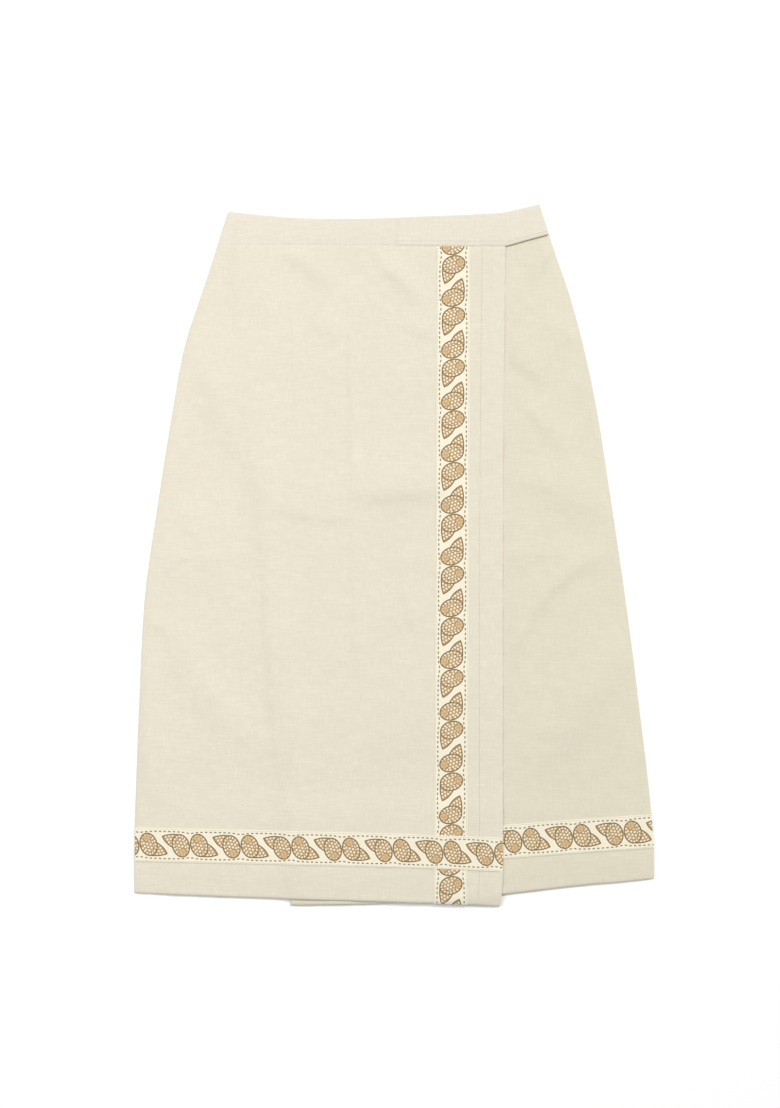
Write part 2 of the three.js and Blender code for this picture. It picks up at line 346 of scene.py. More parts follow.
class Paint:
    """The nodes of one material, around a Principled shader."""

    def __init__(self, name):
        self.material = bpy.data.materials.new(name)
        self.material.use_nodes = True
        self.tree = self.material.node_tree
        self.shader = next(n for n in self.tree.nodes if n.type == "BSDF_PRINCIPLED")

    def node(self, kind, settings=None, sockets=None, output=0):
        """A node of this kind, with its settings made first and then its sockets' values or links."""
        node = self.tree.nodes.new(kind)
        for setting, value in (settings or {}).items():
            setattr(node, setting, value)
        for socket, value in (sockets or {}).items():
            self.feed(node.inputs[socket], value)
        return Value(self, node.outputs[output])

    def feed(self, socket, value):
        if isinstance(value, Value):
            self.tree.links.new(value.socket, socket)
        else:
            socket.default_value = value

    def shade(self, **sockets):
        """Sets the shader's own sockets, named with _ for a space."""
        for name, value in sockets.items():
            self.feed(self.shader.inputs[name.replace("_", " ")], value)

    def parts(self, vector):
        """The X and Y of a vector."""
        split = self.tree.nodes.new("ShaderNodeSeparateXYZ")
        self.tree.links.new(vector.socket, split.inputs[0])
        return Value(self, split.outputs[0]), Value(self, split.outputs[1])

    def place(self):
        """X and Y on the laid garment."""
        return self.parts(self.node("ShaderNodeTexCoord", output="Object"))

    def vector(self, x, y, z=0.0):
        return self.node("ShaderNodeCombineXYZ", None, {0: x, 1: y, 2: z})

    def noise(self, vector, scale, detail=2.0):
        return self.node(
            "ShaderNodeTexNoise", None, {"Vector": vector, "Scale": scale, "Detail": detail})

    def grain(self, grain, x, y):
        """Noise drawn out along the threads, from 0 to 1."""
        return self.noise(self.vector(x * grain.x, y * grain.y, grain.layer), 1.0, grain.detail)

    def mix(self, share, first, second):
        """The colour that goes from first to second as the share goes from 0 to 1."""
        return self.node(
            "ShaderNodeMix", {"data_type": "RGBA"},
            {0: share, 6: as_colour(first), 7: as_colour(second)}, output=2)

    def bump(self, height, distance):
        return self.node("ShaderNodeBump", None, {"Height": height, "Distance": distance})


def as_colour(value):
    return value if isinstance(value, Value) else (*value, 1.0)


def tinted(colour, factor, warmth=0.0):
    """A colour made lighter or darker, and warmer where blue is taken away."""
    red, green, blue = colour
    return (red * factor, green * factor * (1 - warmth / 2), blue * factor * (1 - warmth))


# Noise along the threads: its waves per metre in X and Y, its own layer, and its detail.
Grain = namedtuple("Grain", "x y layer detail", defaults=(0.0, 2.0))
SLUB_WEFT = Grain(24, 640)
SLUB_WARP = Grain(700, 16, 3.0)
WEFT = Grain(60, 370, 7.0, 4.0)
WARP = Grain(340, 65, 9.0, 4.0)
STREAK = Grain(48, 8, 11.0)
YARN = Grain(260, 900, 1.0)
PLY_PITCH = 0.5


def weave(paint, x, y, pitch):
    """The height of a plain weave, and the share of thick slub threads in it."""
    turn = math.pi / pitch
    crossing = (x * turn).sine() * (y * turn).sine()
    weft = paint.grain(SLUB_WEFT, x, y).ramp(0.6, 0.78)
    warp = paint.grain(SLUB_WARP, x, y).ramp(0.64, 0.8)
    return crossing, weft.most(warp * 0.6)


def cloth_material(name, colour, pitch):
    """Unbleached cloth with uneven threads, slubs and specks of seed."""
    paint = Paint(name)
    x, y = paint.place()
    crossing, slub = weave(paint, x, y, pitch)
    mottle = paint.noise(paint.vector(x, y, 0.4), 13.0, 4.0)
    weft = paint.grain(WEFT, x, y)
    yarn = paint.grain(YARN, x, y)
    seed = paint.noise(paint.vector(x, y, 5.0), 330.0).ramp(0.735, 0.79)
    shade = paint.mix(mottle.ramp(0.3, 0.7), tinted(colour, 0.984, 0.015), tinted(colour, 1.008))
    layers = (  # each with its share, how light it makes the cloth and how warm
        (paint.grain(STREAK, x, y).ramp(0.3, 0.7) * 0.15, 0.93, 0.02),
        (weft.ramp(0.32, 0.68) * 0.66, 0.915, 0.03),
        (paint.grain(WARP, x, y).ramp(0.32, 0.68) * 0.55, 0.905, 0.03),
        (yarn.ramp(0.35, 0.75) * 0.4, 0.94, 0.03),
        (slub * 0.7, 1.06, 0.015),
        (seed * 0.5, 0.72, 0.2),
    )
    for share, factor, warmth in layers:
        shade = paint.mix(share, shade, tinted(colour, factor, warmth))
    height = crossing * 0.35 + slub * 0.9 + yarn * 0.35 + weft * 0.5
    paint.shade(
        Base_Color=shade,
        Roughness=0.95 - slub * 0.08 - mottle * 0.06,
        Normal=paint.bump(height, 0.08 * MM),
        Sheen_Weight=0.08,
        Sheen_Roughness=0.5,
        Specular_IOR_Level=0.2,
    )
    return paint.material


def thread_material(name, colour):
    """Sewing thread, its plies twisted together every half millimetre."""
    paint = Paint(name)
    x, y = paint.place()
    ply = ((x + y) * (2 * math.pi / (PLY_PITCH * MM))).sine()
    fade = paint.noise(paint.vector(x, y), 40.0)
    paint.shade(
        Base_Color=paint.mix(fade.ramp(0.3, 0.7), tinted(colour, 0.93, 0.03), tinted(colour, 1.02)),
        Roughness=0.7,
        Normal=paint.bump(ply, 0.03 * MM),
        Sheen_Weight=0.1,
    )
    return paint.material


# A printed shell lies between the point where two shells touch and the next gap. Along and across
# are millimetres from that point, and the shell's tail bends to the minus side.
Disc = namedtuple("Disc", "along across radius")
Oval = namedtuple("Oval", "along across half_width half_length lean")
SHELL_BODY = Oval(10.6, 0.4, 10.4, 13.7, 16)
SHELL_KNOB = Oval(8.4, 8.3, 4.6, 5.1, 24)
TAIL_LOWER = Disc(18.5, 24.8, 38.0)
TAIL_UPPER = Disc(10.5, -19.0, 24.0)
TAIL_START = 9.0
PRINT_SOFTNESS = 0.26
OUTLINE_WIDTH = 1.15
NET_PITCH = 4.05
NET_ROW = 0.86  # between rows of dots, as a share of the pitch
NET_DOT = 1.32
NET_LEAN = (0.94, 0.34)  # cosine and sine
BEAD_PITCH = 3.85
BEAD = 1.15
BEADS_INSET = 2.6
LIP_INSET = 0.5  # the lines and dots inside a shell lie this far from the edges they follow
LIP_HALF_WIDTH = 0.45
COLLAR_INSET = 0.3
CRESCENT_INSET = 4.3
CRESCENT_RUN = (11.5, 14.5)
CRESCENT_LEAN = 0.27
FINE_HALF_WIDTH = 0.35
NET_INSET = 4.2
KNOB_INSET = 0.5
KNOB_GLOW_INSET = 2.2
KNOB_GLOW_SOFTNESS = 1.8
TAIL_ROWS_INSET = 0.5
TAIL_NET_INSET = 1.5
TAIL_NET_STRETCH = 1.06
TAIL_FROM_BODY = 0.4
DASH_ROW = 15.8  # from the middle of the tape
DASH_DIP = 1.8  # how far the rows bend in where two shells touch
DASH_DIP_REACH = 6.2
DASH_PITCH = 5.33
DASH_HALF_LENGTH = 1.4
DASH_HALF_WIDTH = 0.7
DASH_SOFTNESS = 0.3


def from_disc(disc, along, across):
    """Distance outside a disc's edge, minus inside it."""
    a = along - disc.along
    b = across - disc.across
    return (a * a + b * b).root() - disc.radius


def on_oval(oval, along, across):
    """Places along and across an oval that leans, as shares of its half sizes."""
    lean = math.radians(oval.lean)
    a = along - oval.along
    b = across - oval.across
    across_it = (a * math.cos(lean) + b * math.sin(lean)) / oval.half_width
    along_it = (b * math.cos(lean) - a * math.sin(lean)) / oval.half_length
    return across_it, along_it


def from_oval(oval, along, across):
    """Distance outside an oval's edge, minus inside it, near the edge."""
    a, b = on_oval(oval, along, across)
    reach = (a * a + b * b).root()
    steep = a * a * oval.half_width**-2 + b * b * oval.half_length**-2
    return reach * (reach - 1) / (steep.root() + 0.001)


def inside(distance, softness=PRINT_SOFTNESS):
    """1 inside a shape and 0 outside it, from the distance to its edge."""
    return distance.ramp(softness, -softness)


def stroke(distance, half_width):
    """1 within a line of this half width, and 0 beside it."""
    return inside(abs(distance) - half_width)


def tail(along, across):
    """Distance outside a shell's tail, minus inside it."""
    curved = from_disc(TAIL_LOWER, along, across).most(from_disc(TAIL_UPPER, along, across))
    return curved.most(TAIL_START - along)


def dot(a, b, radius):
    """1 inside a disc round a and b of nothing, and 0 outside it."""
    return inside((a * a + b * b).root() - radius)


def net_of_dots(along, across):
    """Dots in staggered rows, 1 in a dot and 0 between them."""
    row_pitch = NET_PITCH * NET_ROW
    row = (along / row_pitch).floor() % 2
    a = along % row_pitch - row_pitch / 2
    b = (across + row * (NET_PITCH / 2)) % NET_PITCH - NET_PITCH / 2
    return dot(a, b, NET_DOT)


def tail_net(along, across):
    """The dots of a tail, in rows that follow its lower edge."""
    a = along - TAIL_LOWER.along
    b = across - TAIL_LOWER.across
    reach = TAIL_LOWER.radius - (a * a + b * b).root() - TAIL_ROWS_INSET
    return net_of_dots(reach, a * TAIL_NET_STRETCH) * inside(tail(along, across) + TAIL_NET_INSET)


def body_beads(along, across):
    """A row of dots just inside the edge of a shell's body."""
    a, b = on_oval(SHELL_BODY, along, across)
    round_it = a.math("ARCTAN2", b, a) * ((SHELL_BODY.half_width + SHELL_BODY.half_length) / 2 - 2)
    step = round_it % BEAD_PITCH - BEAD_PITCH / 2
    return dot(from_oval(SHELL_BODY, along, across) + BEADS_INSET, step, BEAD)


def tape_material(name, colours, pitch):
    """Off-white tape with pairs of netted shells between two wavy rows of dashes."""
    paint = Paint(name)
    u, v = paint.parts(paint.node("ShaderNodeUVMap", {"uv_map": "Tape"}))
    half = HEM_REPEAT / 2
    run = (u / MM + half) % HEM_REPEAT - half
    side = v / MM
    along = abs(run)
    across = side * run.sign()

    body = from_oval(SHELL_BODY, along, across)
    knob = from_oval(SHELL_KNOB, along, across)
    own_tail = tail(along, across)
    next_tail = tail(HEM_REPEAT - along, -across)
    shell = body.least(knob).least(own_tail)
    whole = shell.least(next_tail)
    printed = inside(whole)

    edge = stroke(whole + OUTLINE_WIDTH / 2, OUTLINE_WIDTH / 2)
    lip = stroke(body + LIP_INSET, LIP_HALF_WIDTH) * inside(own_tail)
    collar = stroke(knob + COLLAR_INSET, FINE_HALF_WIDTH)
    leaning = (along - across * CRESCENT_LEAN).ramp(*CRESCENT_RUN)
    crescent = stroke(body + CRESCENT_INSET, FINE_HALF_WIDTH) * leaning
    lines = edge.most(lip * 0.9).most(collar * 0.7).most(crescent * 0.6)

    off_knob = inside(knob * -1 - KNOB_INSET) * 0.7 + 0.3
    deep = inside(body + NET_INSET) * off_knob
    cosine, sine = NET_LEAN
    net = net_of_dots(along * cosine + across * sine, across * cosine - along * sine) * deep
    ring = body_beads(along, across) * off_knob
    own_net = tail_net(along, across) * inside(body * -1 - TAIL_FROM_BODY)
    next_net = tail_net(HEM_REPEAT - along, -across)
    dots = net.most(ring).most(own_net).most(next_net)

    sweep = (run / DASH_DIP_REACH) * (run / DASH_DIP_REACH)
    dip = DASH_DIP / (1 + sweep)
    row = abs(abs(side) + dip - DASH_ROW) - DASH_HALF_WIDTH
    step = abs(u / MM % DASH_PITCH - DASH_PITCH / 2) - DASH_HALF_LENGTH
    dashes = inside(row.most(step), DASH_SOFTNESS)

    crossing, slub = weave(paint, u, v, pitch)
    worn = paint.noise(paint.vector(u, v, 2.0), 210.0, 3.0)
    cream = tinted(colours.ground, 0.985, 0.03)
    ground = paint.mix(worn.ramp(0.3, 0.75) * 0.4, tuple(colours.ground), cream)
    ink = paint.mix(worn.ramp(0.35, 0.7), tuple(colours.shell), tinted(colours.shell, 1.14))
    glow = inside(knob + KNOB_GLOW_INSET, KNOB_GLOW_SOFTNESS)
    solid = paint.mix(glow, tinted(colours.knob, 1.15), tuple(colours.knob))
    ink = paint.mix(inside(knob + KNOB_INSET), ink, solid)
    ink = paint.mix(dots * 0.95, ink, tuple(colours.ground))
    ink = paint.mix(lines * (0.75 + worn.ramp(0.3, 0.6) * 0.25), ink, tuple(colours.outline))
    shade = paint.mix(printed * 0.97, ground, ink)
    shade = paint.mix(dashes * 0.9, shade, tuple(colours.dash))
    paint.shade(
        Base_Color=shade,
        Roughness=0.86 - printed * 0.08,
        Normal=paint.bump(crossing * 0.3 + slub * 0.5 + printed * 0.25, 0.06 * MM),
        Sheen_Weight=0.06,
        Specular_IOR_Level=0.3,
    )
    return paint.material


FLOOR_LIGHT = (0.985, 0.985, 0.985)
FLOOR_DARK = (0.97, 0.97, 0.97)


def floor_material():
    paint = Paint("studio_floor")
    x, y = paint.place()
    grain = paint.noise(paint.vector(x, y), 60.0)
    paint.shade(
        Base_Color=paint.mix(grain, FLOOR_LIGHT, FLOOR_DARK),
        Roughness=0.9,
        Specular_IOR_Level=0.1,
    )
    return paint.material


# ---- Shaping ----


def eased(value, start, end):
    """0 up to the start and 1 from the end, eased between them."""
    t = np.clip((value - start) / (end - start), 0, 1)
    return t * t * (3 - 2 * t)


def risen(distance, run):
    """0 up to the start of a run in millimetres and 1 from its end."""
    start, end = run
    return eased(distance, start * MM, end * MM)


def fallen(distance, run):
    """1 up to the start of a run in millimetres and 0 from its end."""
    return 1 - risen(distance, run)


class Plan:
    """The outline of one of the part's solids seen from above, and the height of its upper side."""

    CORNERS = ((1, 1), (-1, 1), (-1, -1), (1, -1))  # least of these sums of X and Y, from lower left
    FACES_UP = 0.5  # Z of a face's outward direction
    WELD = 0.001 * MM
    ROUNDS = 10  # enough to settle where X and Y depend on each other

    def __init__(self, node):
        upper = bmesh.new()
        upper.from_mesh(frame["nodes"][node].data)
        bmesh.ops.remove_doubles(upper, verts=upper.verts, dist=self.WELD)
        upper.normal_update()
        others = [face for face in upper.faces if face.normal.z < self.FACES_UP]
        bmesh.ops.delete(upper, geom=others, context="FACES")
        rim = self.walk_rim(upper)
        self.tree = BVHTree.FromBMesh(upper)
        upper.free()
        starts = [int(np.argmin(rim[:, 0] * a + rim[:, 1] * b)) for a, b in self.CORNERS]
        sides = []
        for start, end in zip(starts, starts[1:] + starts[:1]):
            steps = (end - start) % len(rim) + 1
            sides.append(rim[[(start + k) % len(rim) for k in range(steps)]])
        self.lower, self.right, self.upper, self.left = sides
        self.upper = self.upper[::-1]
        self.left = self.left[::-1]
        before = np.roll(rim, 1, axis=0)
        self.area = 0.5 * abs(np.dot(rim[:, 0], before[:, 1]) - np.dot(rim[:, 1], before[:, 0]))
        self.width = np.ptp(rim[:, 0])
        self.length = np.ptp(rim[:, 1])

    @staticmethod
    def walk_rim(upper):
        """The points of the rim in order, against the clock."""
        first = min((v for v in upper.verts if v.is_boundary), key=lambda v: v.co.x + v.co.y)
        here = first
        before = None
        rim = []
        while not rim or here is not first:
            rim.append(here.co.xy[:])
            ways = [e.other_vert(here) for e in here.link_edges if e.is_boundary]
            ways = [way for way in ways if way is not before]
            here, before = max(ways, key=lambda v: v.co.x - v.co.y), here
        return np.array(rim)

    def left_at(self, y):
        return np.interp(y, self.left[:, 1], self.left[:, 0])

    def right_at(self, y):
        return np.interp(y, self.right[:, 1], self.right[:, 0])

    def lower_at(self, x):
        return np.interp(x, self.lower[:, 0], self.lower[:, 1])

    def upper_at(self, x):
        return np.interp(x, self.upper[:, 0], self.upper[:, 1])

    def place(self, u, v):
        """X and Y of a share u of the way across and v of the way up."""
        x = np.full_like(u, self.lower[:, 0].mean())
        y = np.full_like(u, self.left[:, 1].mean())
        for _ in range(self.ROUNDS):
            x = self.left_at(y) * (1 - u) + self.right_at(y) * u
            y = self.lower_at(x) * (1 - v) + self.upper_at(x) * v
        return x, y


def heights(tree, x, y):
    """The height of a surface at each X and Y, or of its nearest edge past its outline."""
    found = np.empty(len(x))
    down = Vector((0, 0, -1))
    for i, (px, py) in enumerate(zip(x, y)):
        hit = tree.ray_cast(Vector((px, py, 1)), down)[0]
        found[i] = (hit or tree.find_nearest(Vector((px, py, MIDDLE_HEIGHT * MM)))[0]).z
    return found


def softened(height, shape, rounds):
    """Heights on a net of rows and columns, smoothed along both."""
    z = height.reshape(shape)
    for _ in range(rounds):
        for axis in (0, 1):
            padded = np.pad(z, [(1, 1) if a == axis else (0, 0) for a in (0, 1)], mode="edge")
            ahead = np.take(padded, range(2, padded.shape[axis]), axis)
            behind = np.take(padded, range(padded.shape[axis] - 2), axis)
            z = z / 2 + (ahead + behind) / 4
    return z.ravel()


def creased(creases, x, y):
    """The height of a table of creases at each point."""
    total = np.zeros_like(x)
    for c in creases:
        start = np.array([c.x0, c.y0]) * MM
        way = np.array([c.x1, c.y1]) * MM - start
        length = np.hypot(*way)
        way = way / length
        along = ((x - start[0]) * way[0] + (y - start[1]) * way[1]) / length
        offset = (y - start[1]) * way[0] - (x - start[0]) * way[1]
        along_in = np.clip(along, 0, 1)
        offset = offset - c.bow * MM * 4 * along_in * (1 - along_in)
        fade = eased(along, *CREASE_COMES) * (1 - eased(along, *CREASE_GOES))
        reach = np.where(offset < 0, c.steep, c.gentle) * MM
        total += c.height * MM * fade * np.exp(-np.abs(offset / reach) ** c.power)
    return total


def seam_dip(x, from_seam):
    """How far the cloth sinks near the waist seam, right of the join in the waistband."""
    near = np.exp(-((from_seam / (SEAM_DIP_REACH * MM)) ** 2))
    return SEAM_DIP * MM * risen(x, SEAM_DIP_RUN) * near


def make_waves(seed, count, shortest, longest):
    """Low waves in random directions: each has its numbers of turns per metre, and a phase."""
    draw = random.Random(seed)
    waves = []
    for _ in range(count):
        length = draw.uniform(shortest, longest) * MM
        turn = draw.uniform(0, math.pi)
        waves.append((math.cos(turn) / length, math.sin(turn) / length, draw.uniform(0, 2 * math.pi)))
    return waves


def waved(waves, x, y):
    return sum(np.sin(2 * math.pi * (a * x + b * y) + phase) for a, b, phase in waves)


def deselect_all():
    if bpy.context.object and bpy.context.object.mode != "OBJECT":
        bpy.ops.object.mode_set(mode="OBJECT")
    bpy.ops.object.select_all(action="DESELECT")


def new_net(name, plan, spacing):
    """A flat net over a plan: its object, the X and Y of its points, and its rows and columns."""
    columns = round(plan.width / spacing)
    rows = round(plan.length / spacing)
    deselect_all()
    bpy.ops.mesh.primitive_grid_add(x_subdivisions=columns, y_subdivisions=rows, size=1)
    net = bpy.context.object
    net.name = name
    flat = np.empty(len(net.data.vertices) * 3)
    net.data.vertices.foreach_get("co", flat)
    flat = flat.reshape(-1, 3)
    x, y = plan.place(flat[:, 0] + 0.5, flat[:, 1] + 0.5)
    shape = (len(np.unique(flat[:, 1].round(6))), len(np.unique(flat[:, 0].round(6))))
    return net, x, y, shape


def set_points(net, x, y, z):
    net.data.vertices.foreach_set("co", np.column_stack([x, y, z]).astype(np.float32).ravel())
    net.data.update()


def apply_modifier(piece, kind, **settings):
    modifier = piece.modifiers.new(kind.title(), kind)
    for name, value in settings.items():
        setattr(modifier, name, value)
    bpy.ops.object.modifier_apply(modifier=modifier.name)


def thicken(piece, wall, folded=None, turned=None):
    """Gives a net its wall, thicker where the cloth is turned back, with rounded edges."""
    if turned is None:
        apply_modifier(piece, "SOLIDIFY", thickness=wall, offset=-1)
    else:
        group = piece.vertex_groups.new(name="turned back")
        for i, share in enumerate(turned):
            group.add([i], float(wall / folded + (1 - wall / folded) * share), "REPLACE")
        apply_modifier(piece, "SOLIDIFY", thickness=folded, offset=-1, vertex_group=group.name)
        piece.vertex_groups.clear()
    apply_modifier(
        piece, "BEVEL", width=EDGE_ROUNDING * wall, segments=2, limit_method="ANGLE",
        angle_limit=math.radians(ROUNDED_FROM))
    bpy.ops.object.shade_smooth_by_angle(angle=math.radians(SMOOTH_UP_TO))


def lay_flat(piece):
    """Brings a piece's whole underside down to the surface it rests on."""
    below = [point for point in piece.data.vertices if point.normal.z < FACES_DOWN]
    for point in below:
        point.co.z = 0


def finish_piece(piece, material, node=None):
    """Gives a piece its material, slot and body, and hides the node it stands for."""
    piece.data.materials.clear()
    piece.data.materials.append(material)
    if node:
        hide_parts(node)
    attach(piece, BODY)


def finish_sheet(piece, material, node):
    """Gives a sheet its material and body, and hides the node it stands for."""
    finish_piece(piece, material, node)


def tree_of(piece):
    mesh = piece.data
    return BVHTree.FromPolygons([v.co for v in mesh.vertices], [p.vertices[:] for p in mesh.polygons])


def material_named(name, maker, *facts):
    """The material of this name, made the first time it is asked for."""
    return bpy.data.materials.get(name) or maker(name, *facts)


def cotton(scene, colour):
    """The cloth in one of the user's colours."""
    return material_named(
        colour + "_cotton", cloth_material, tuple(getattr(scene.dhoti_colours, colour)),
        scene.dhoti_cloth.thread_pitch)


# ---- Pieces ----


def make_front(scene, node, creases, seed, material, beyond=None):
    """A front panel, sewn in along one side and with its free edge turned back along the other.

    The over-wrap has its free edge at the right. It sags beyond the plan that is given last."""
    cloth = scene.dhoti_cloth
    is_over = beyond is not None
    plan = Plan(node)
    net, x, y, shape = new_net(node + "_cloth", plan, cloth.net)
    for row, rise in enumerate(HEM_ROWS, 1):
        y[row * shape[1]:(row + 1) * shape[1]] = y[:shape[1]] + rise * MM
    from_hem = y - plan.lower_at(x)
    from_waist = plan.upper_at(x) - y
    from_free = plan.right_at(y) - x
    from_side = x - plan.left_at(y)
    if not is_over:
        from_free, from_side = from_side, from_free

    z = softened(heights(plan.tree, x, y), shape, SOFTENING)
    z += (softened(z, shape, MORE_SOFTENING) - z) * risen(from_waist, SMOOTHER_RUN)
    sewn_in = risen(from_waist, WAIST_SEAM_RUN) * risen(from_side, SIDE_SEAM_RUN)
    shown = 1 if is_over else risen(x, UNCOVERED_RUN)
    z += creased(creases, x, y) * cloth.creasing * sewn_in * shown
    calm = risen(np.minimum(from_side, from_waist), LONG_WAVE_RUN)
    z += waved(make_waves(seed, *LONG_WAVES), x, y) * cloth.unevenness * calm
    z += waved(make_waves(seed + SHORT_WAVES_SEED, *SHORT_WAVES), x, y) * cloth.ripples * sewn_in

    z -= SIDE_ROLL * MM * fallen(from_side, SIDE_ROLL_RUN) ** 2
    z += SIDE_RISE * MM * risen(from_side, SIDE_RISE_RUN) * risen(from_waist, WAIST_RISE_RUN)
    z -= FREE_EDGE_PRESS * MM * fallen(from_free, FREE_EDGE_RUN)
    z -= HEM_DROOP * MM * fallen(from_hem, HEM_DROOP_RUN)
    run, share = OVER_LIP_FADE if is_over else UNDER_LIP_FADE
    z -= HEM_LIP * MM * (1 - risen(x, run) * share) * fallen(from_hem, HEM_LIP_RUN)
    if is_over:
        z -= HEM_SAG * MM * risen(beyond.lower_at(x) - y, HEM_SAG_RUN)
    z -= seam_dip(x, from_waist)
    pressed = fallen(np.minimum(from_free, from_hem * 2), PRESSED_RUN)
    z -= (cloth.folded - cloth.wall) * pressed
    turned = np.maximum(
        fallen(from_free, (FACING_WIDTH, FACING_WIDTH + FOLD_EDGE)),
        fallen(from_hem, (HEM_TURNING - FOLD_EDGE, HEM_TURNING)))

    y[-shape[1]:] += TUCKED_IN * MM
    set_points(net, x, y, z)
    thicken(net, cloth.wall, cloth.folded, turned * (1 - pressed))
    finish_sheet(net, material, node)


class DHOTI_OT_back_panel(bpy.types.Operator):
    """Makes the back panel, which lies lowest with its hem turned up inside"""

    bl_idname = "dhoti.back_panel"
    bl_label = "Back panel"

    def execute(self, context):
        cloth = context.scene.dhoti_cloth
        plan = Plan("back_panel")
        net, x, y, shape = new_net("back_panel_cloth", plan, cloth.net * BACK_NET)
        set_points(net, x, y, softened(heights(plan.tree, x, y), shape, LEAST_SOFTENING))
        thicken(net, BACK_WALL * MM)
        lay_flat(net)
        finish_sheet(net, cotton(context.scene, "panel"), "back_panel")
        return {"FINISHED"}


class DHOTI_OT_front_panels(bpy.types.Operator):
    """Makes the under-wrap and the over-wrap that lies on it, with their creases"""

    bl_idname = "dhoti.front_panels"
    bl_label = "Front panels"

    def execute(self, context):
        scene = context.scene
        below = ["back_panel_cloth"]
        # The under-wrap's cloth colour is a little darker than the panels': painted shade.
        make_front(
            scene, "front_under_wrap", UNDER_CREASES, UNDER_SEED, cotton(scene, "under_wrap"))
        below = below + ["front_under_wrap_cloth"]
        make_front(
            scene, "front_over_wrap", OVER_CREASES, OVER_SEED, cotton(scene, "panel"),
            Plan("front_under_wrap"))
        return {"FINISHED"}


class DHOTI_OT_waistband(bpy.types.Operator):
    """Makes the folded waistband: its back, the under-wrap's, the over-wrap's and the wrap end"""

    bl_idname = "dhoti.waistband"
    bl_label = "Waistband"

    BANDS = ("waistband_back", "waistband_under_wrap", "waistband_over_wrap", "waistband_wrap_end")

    def execute(self, context):
        for seed, node in enumerate(self.BANDS, BAND_SEED):
            self.make_band(context.scene, node, make_waves(seed, *LONG_WAVES))
        return {"FINISHED"}

    def make_band(self, scene, node, waves):
        cloth = scene.dhoti_cloth
        plan = Plan(node)
        net, x, y, shape = new_net(node + "_cloth", plan, cloth.net * BAND_NET)
        z = softened(heights(plan.tree, x, y), shape, SOFTENING)
        from_seam = y - plan.lower_at(x)
        share = from_seam / (plan.upper_at(x) - plan.lower_at(x))
        puffed = 4 * share * (1 - share)
        resting = node == "waistband_back"
        if not resting:
            z += waved(waves, x, y) * cloth.unevenness * puffed
            z -= BAND_TOP_PRESS * MM * (1 - puffed) * eased(share, 0.5, 1)
            z -= seam_dip(x, from_seam)
        if node == "waistband_wrap_end":
            z += WRAP_END_LIFT * MM * risen(x, WRAP_END_RUN) * (1 - share) ** 2
        if node == "waistband_over_wrap":
            z -= BAND_PRESS * MM * (1 - eased(share, *BAND_PRESSED))
            x.reshape(shape)[:, -1] += TUCKED_IN * MM
        set_points(net, x, y, z)
        thicken(net, cloth.folded + BAND_EXTRA * MM)
        if resting:
            lay_flat(net)
        finish_sheet(net, cotton(scene, "waistband"), node)


class DHOTI_OT_border_tapes(bpy.types.Operator):
    """Makes the three border tapes on the finished front panels"""

    bl_idname = "dhoti.border_tapes"
    bl_label = "Border tapes"

    def execute(self, context):
        scene = context.scene
        under = ["front_under_wrap_cloth"]
        over = ["front_over_wrap_cloth"]
        crossed = over + ["border_tape_upright_cloth"]
        self.make_tape(scene, "border_tape_under_wrap", under, UNDER_HEM_PHASE, HEM_REPEAT)
        self.make_tape(scene, "border_tape_upright", over, UPRIGHT_PHASE, UPRIGHT_REPEAT)
        self.make_tape(scene, "border_tape_over_wrap", crossed, OVER_HEM_PHASE, HEM_REPEAT)
        return {"FINISHED"}

    def make_tape(self, scene, node, below, phase, repeat):
        """A tape lying on the pieces named below, its pattern's repeat touching at the phase."""
        cloth = scene.dhoti_cloth
        plan = Plan(node)
        net, x, y, shape = new_net(node + "_cloth", plan, cloth.net * TAPE_NET)
        z = heights(tree_of(bpy.data.objects[below[0]]), x, y)
        for name in below[1:]:
            piece = bpy.data.objects[name]
            reach = [corner[0] for corner in piece.bound_box]
            over = (x > min(reach)) & (x < max(reach))
            z[over] = np.maximum(z[over], heights(tree_of(piece), x[over], y[over]))
        z = softened(z, shape, LEAST_SOFTENING) + TAPE_LIFT * MM + cloth.tape
        set_points(net, x, y, z)
        self.lay_pattern(net, plan, x, y, phase * MM, HEM_REPEAT / repeat)
        thicken(net, cloth.tape)
        pitch = cloth.thread_pitch * TAPE_THREADS
        tape = material_named("printed_tape", tape_material, scene.dhoti_colours, pitch)
        finish_sheet(net, tape, node)

    @staticmethod
    def lay_pattern(net, plan, x, y, phase, stretch):
        """The tape's own UV map: metres along it from a touching point, and across from its middle."""
        if plan.length > plan.width:
            along = (phase - y) * stretch
            across = x - (plan.left_at(y) + plan.right_at(y)) / 2
        else:
            along = (x - phase) * stretch
            across = y - (plan.lower_at(x) + plan.upper_at(x)) / 2
        layer = net.data.uv_layers[0]
        layer.name = "Tape"
        corners = np.empty(len(net.data.loops), int)
        net.data.loops.foreach_get("vertex_index", corners)
        layer.data.foreach_set("uv", np.column_stack([along[corners], across[corners]]).ravel())


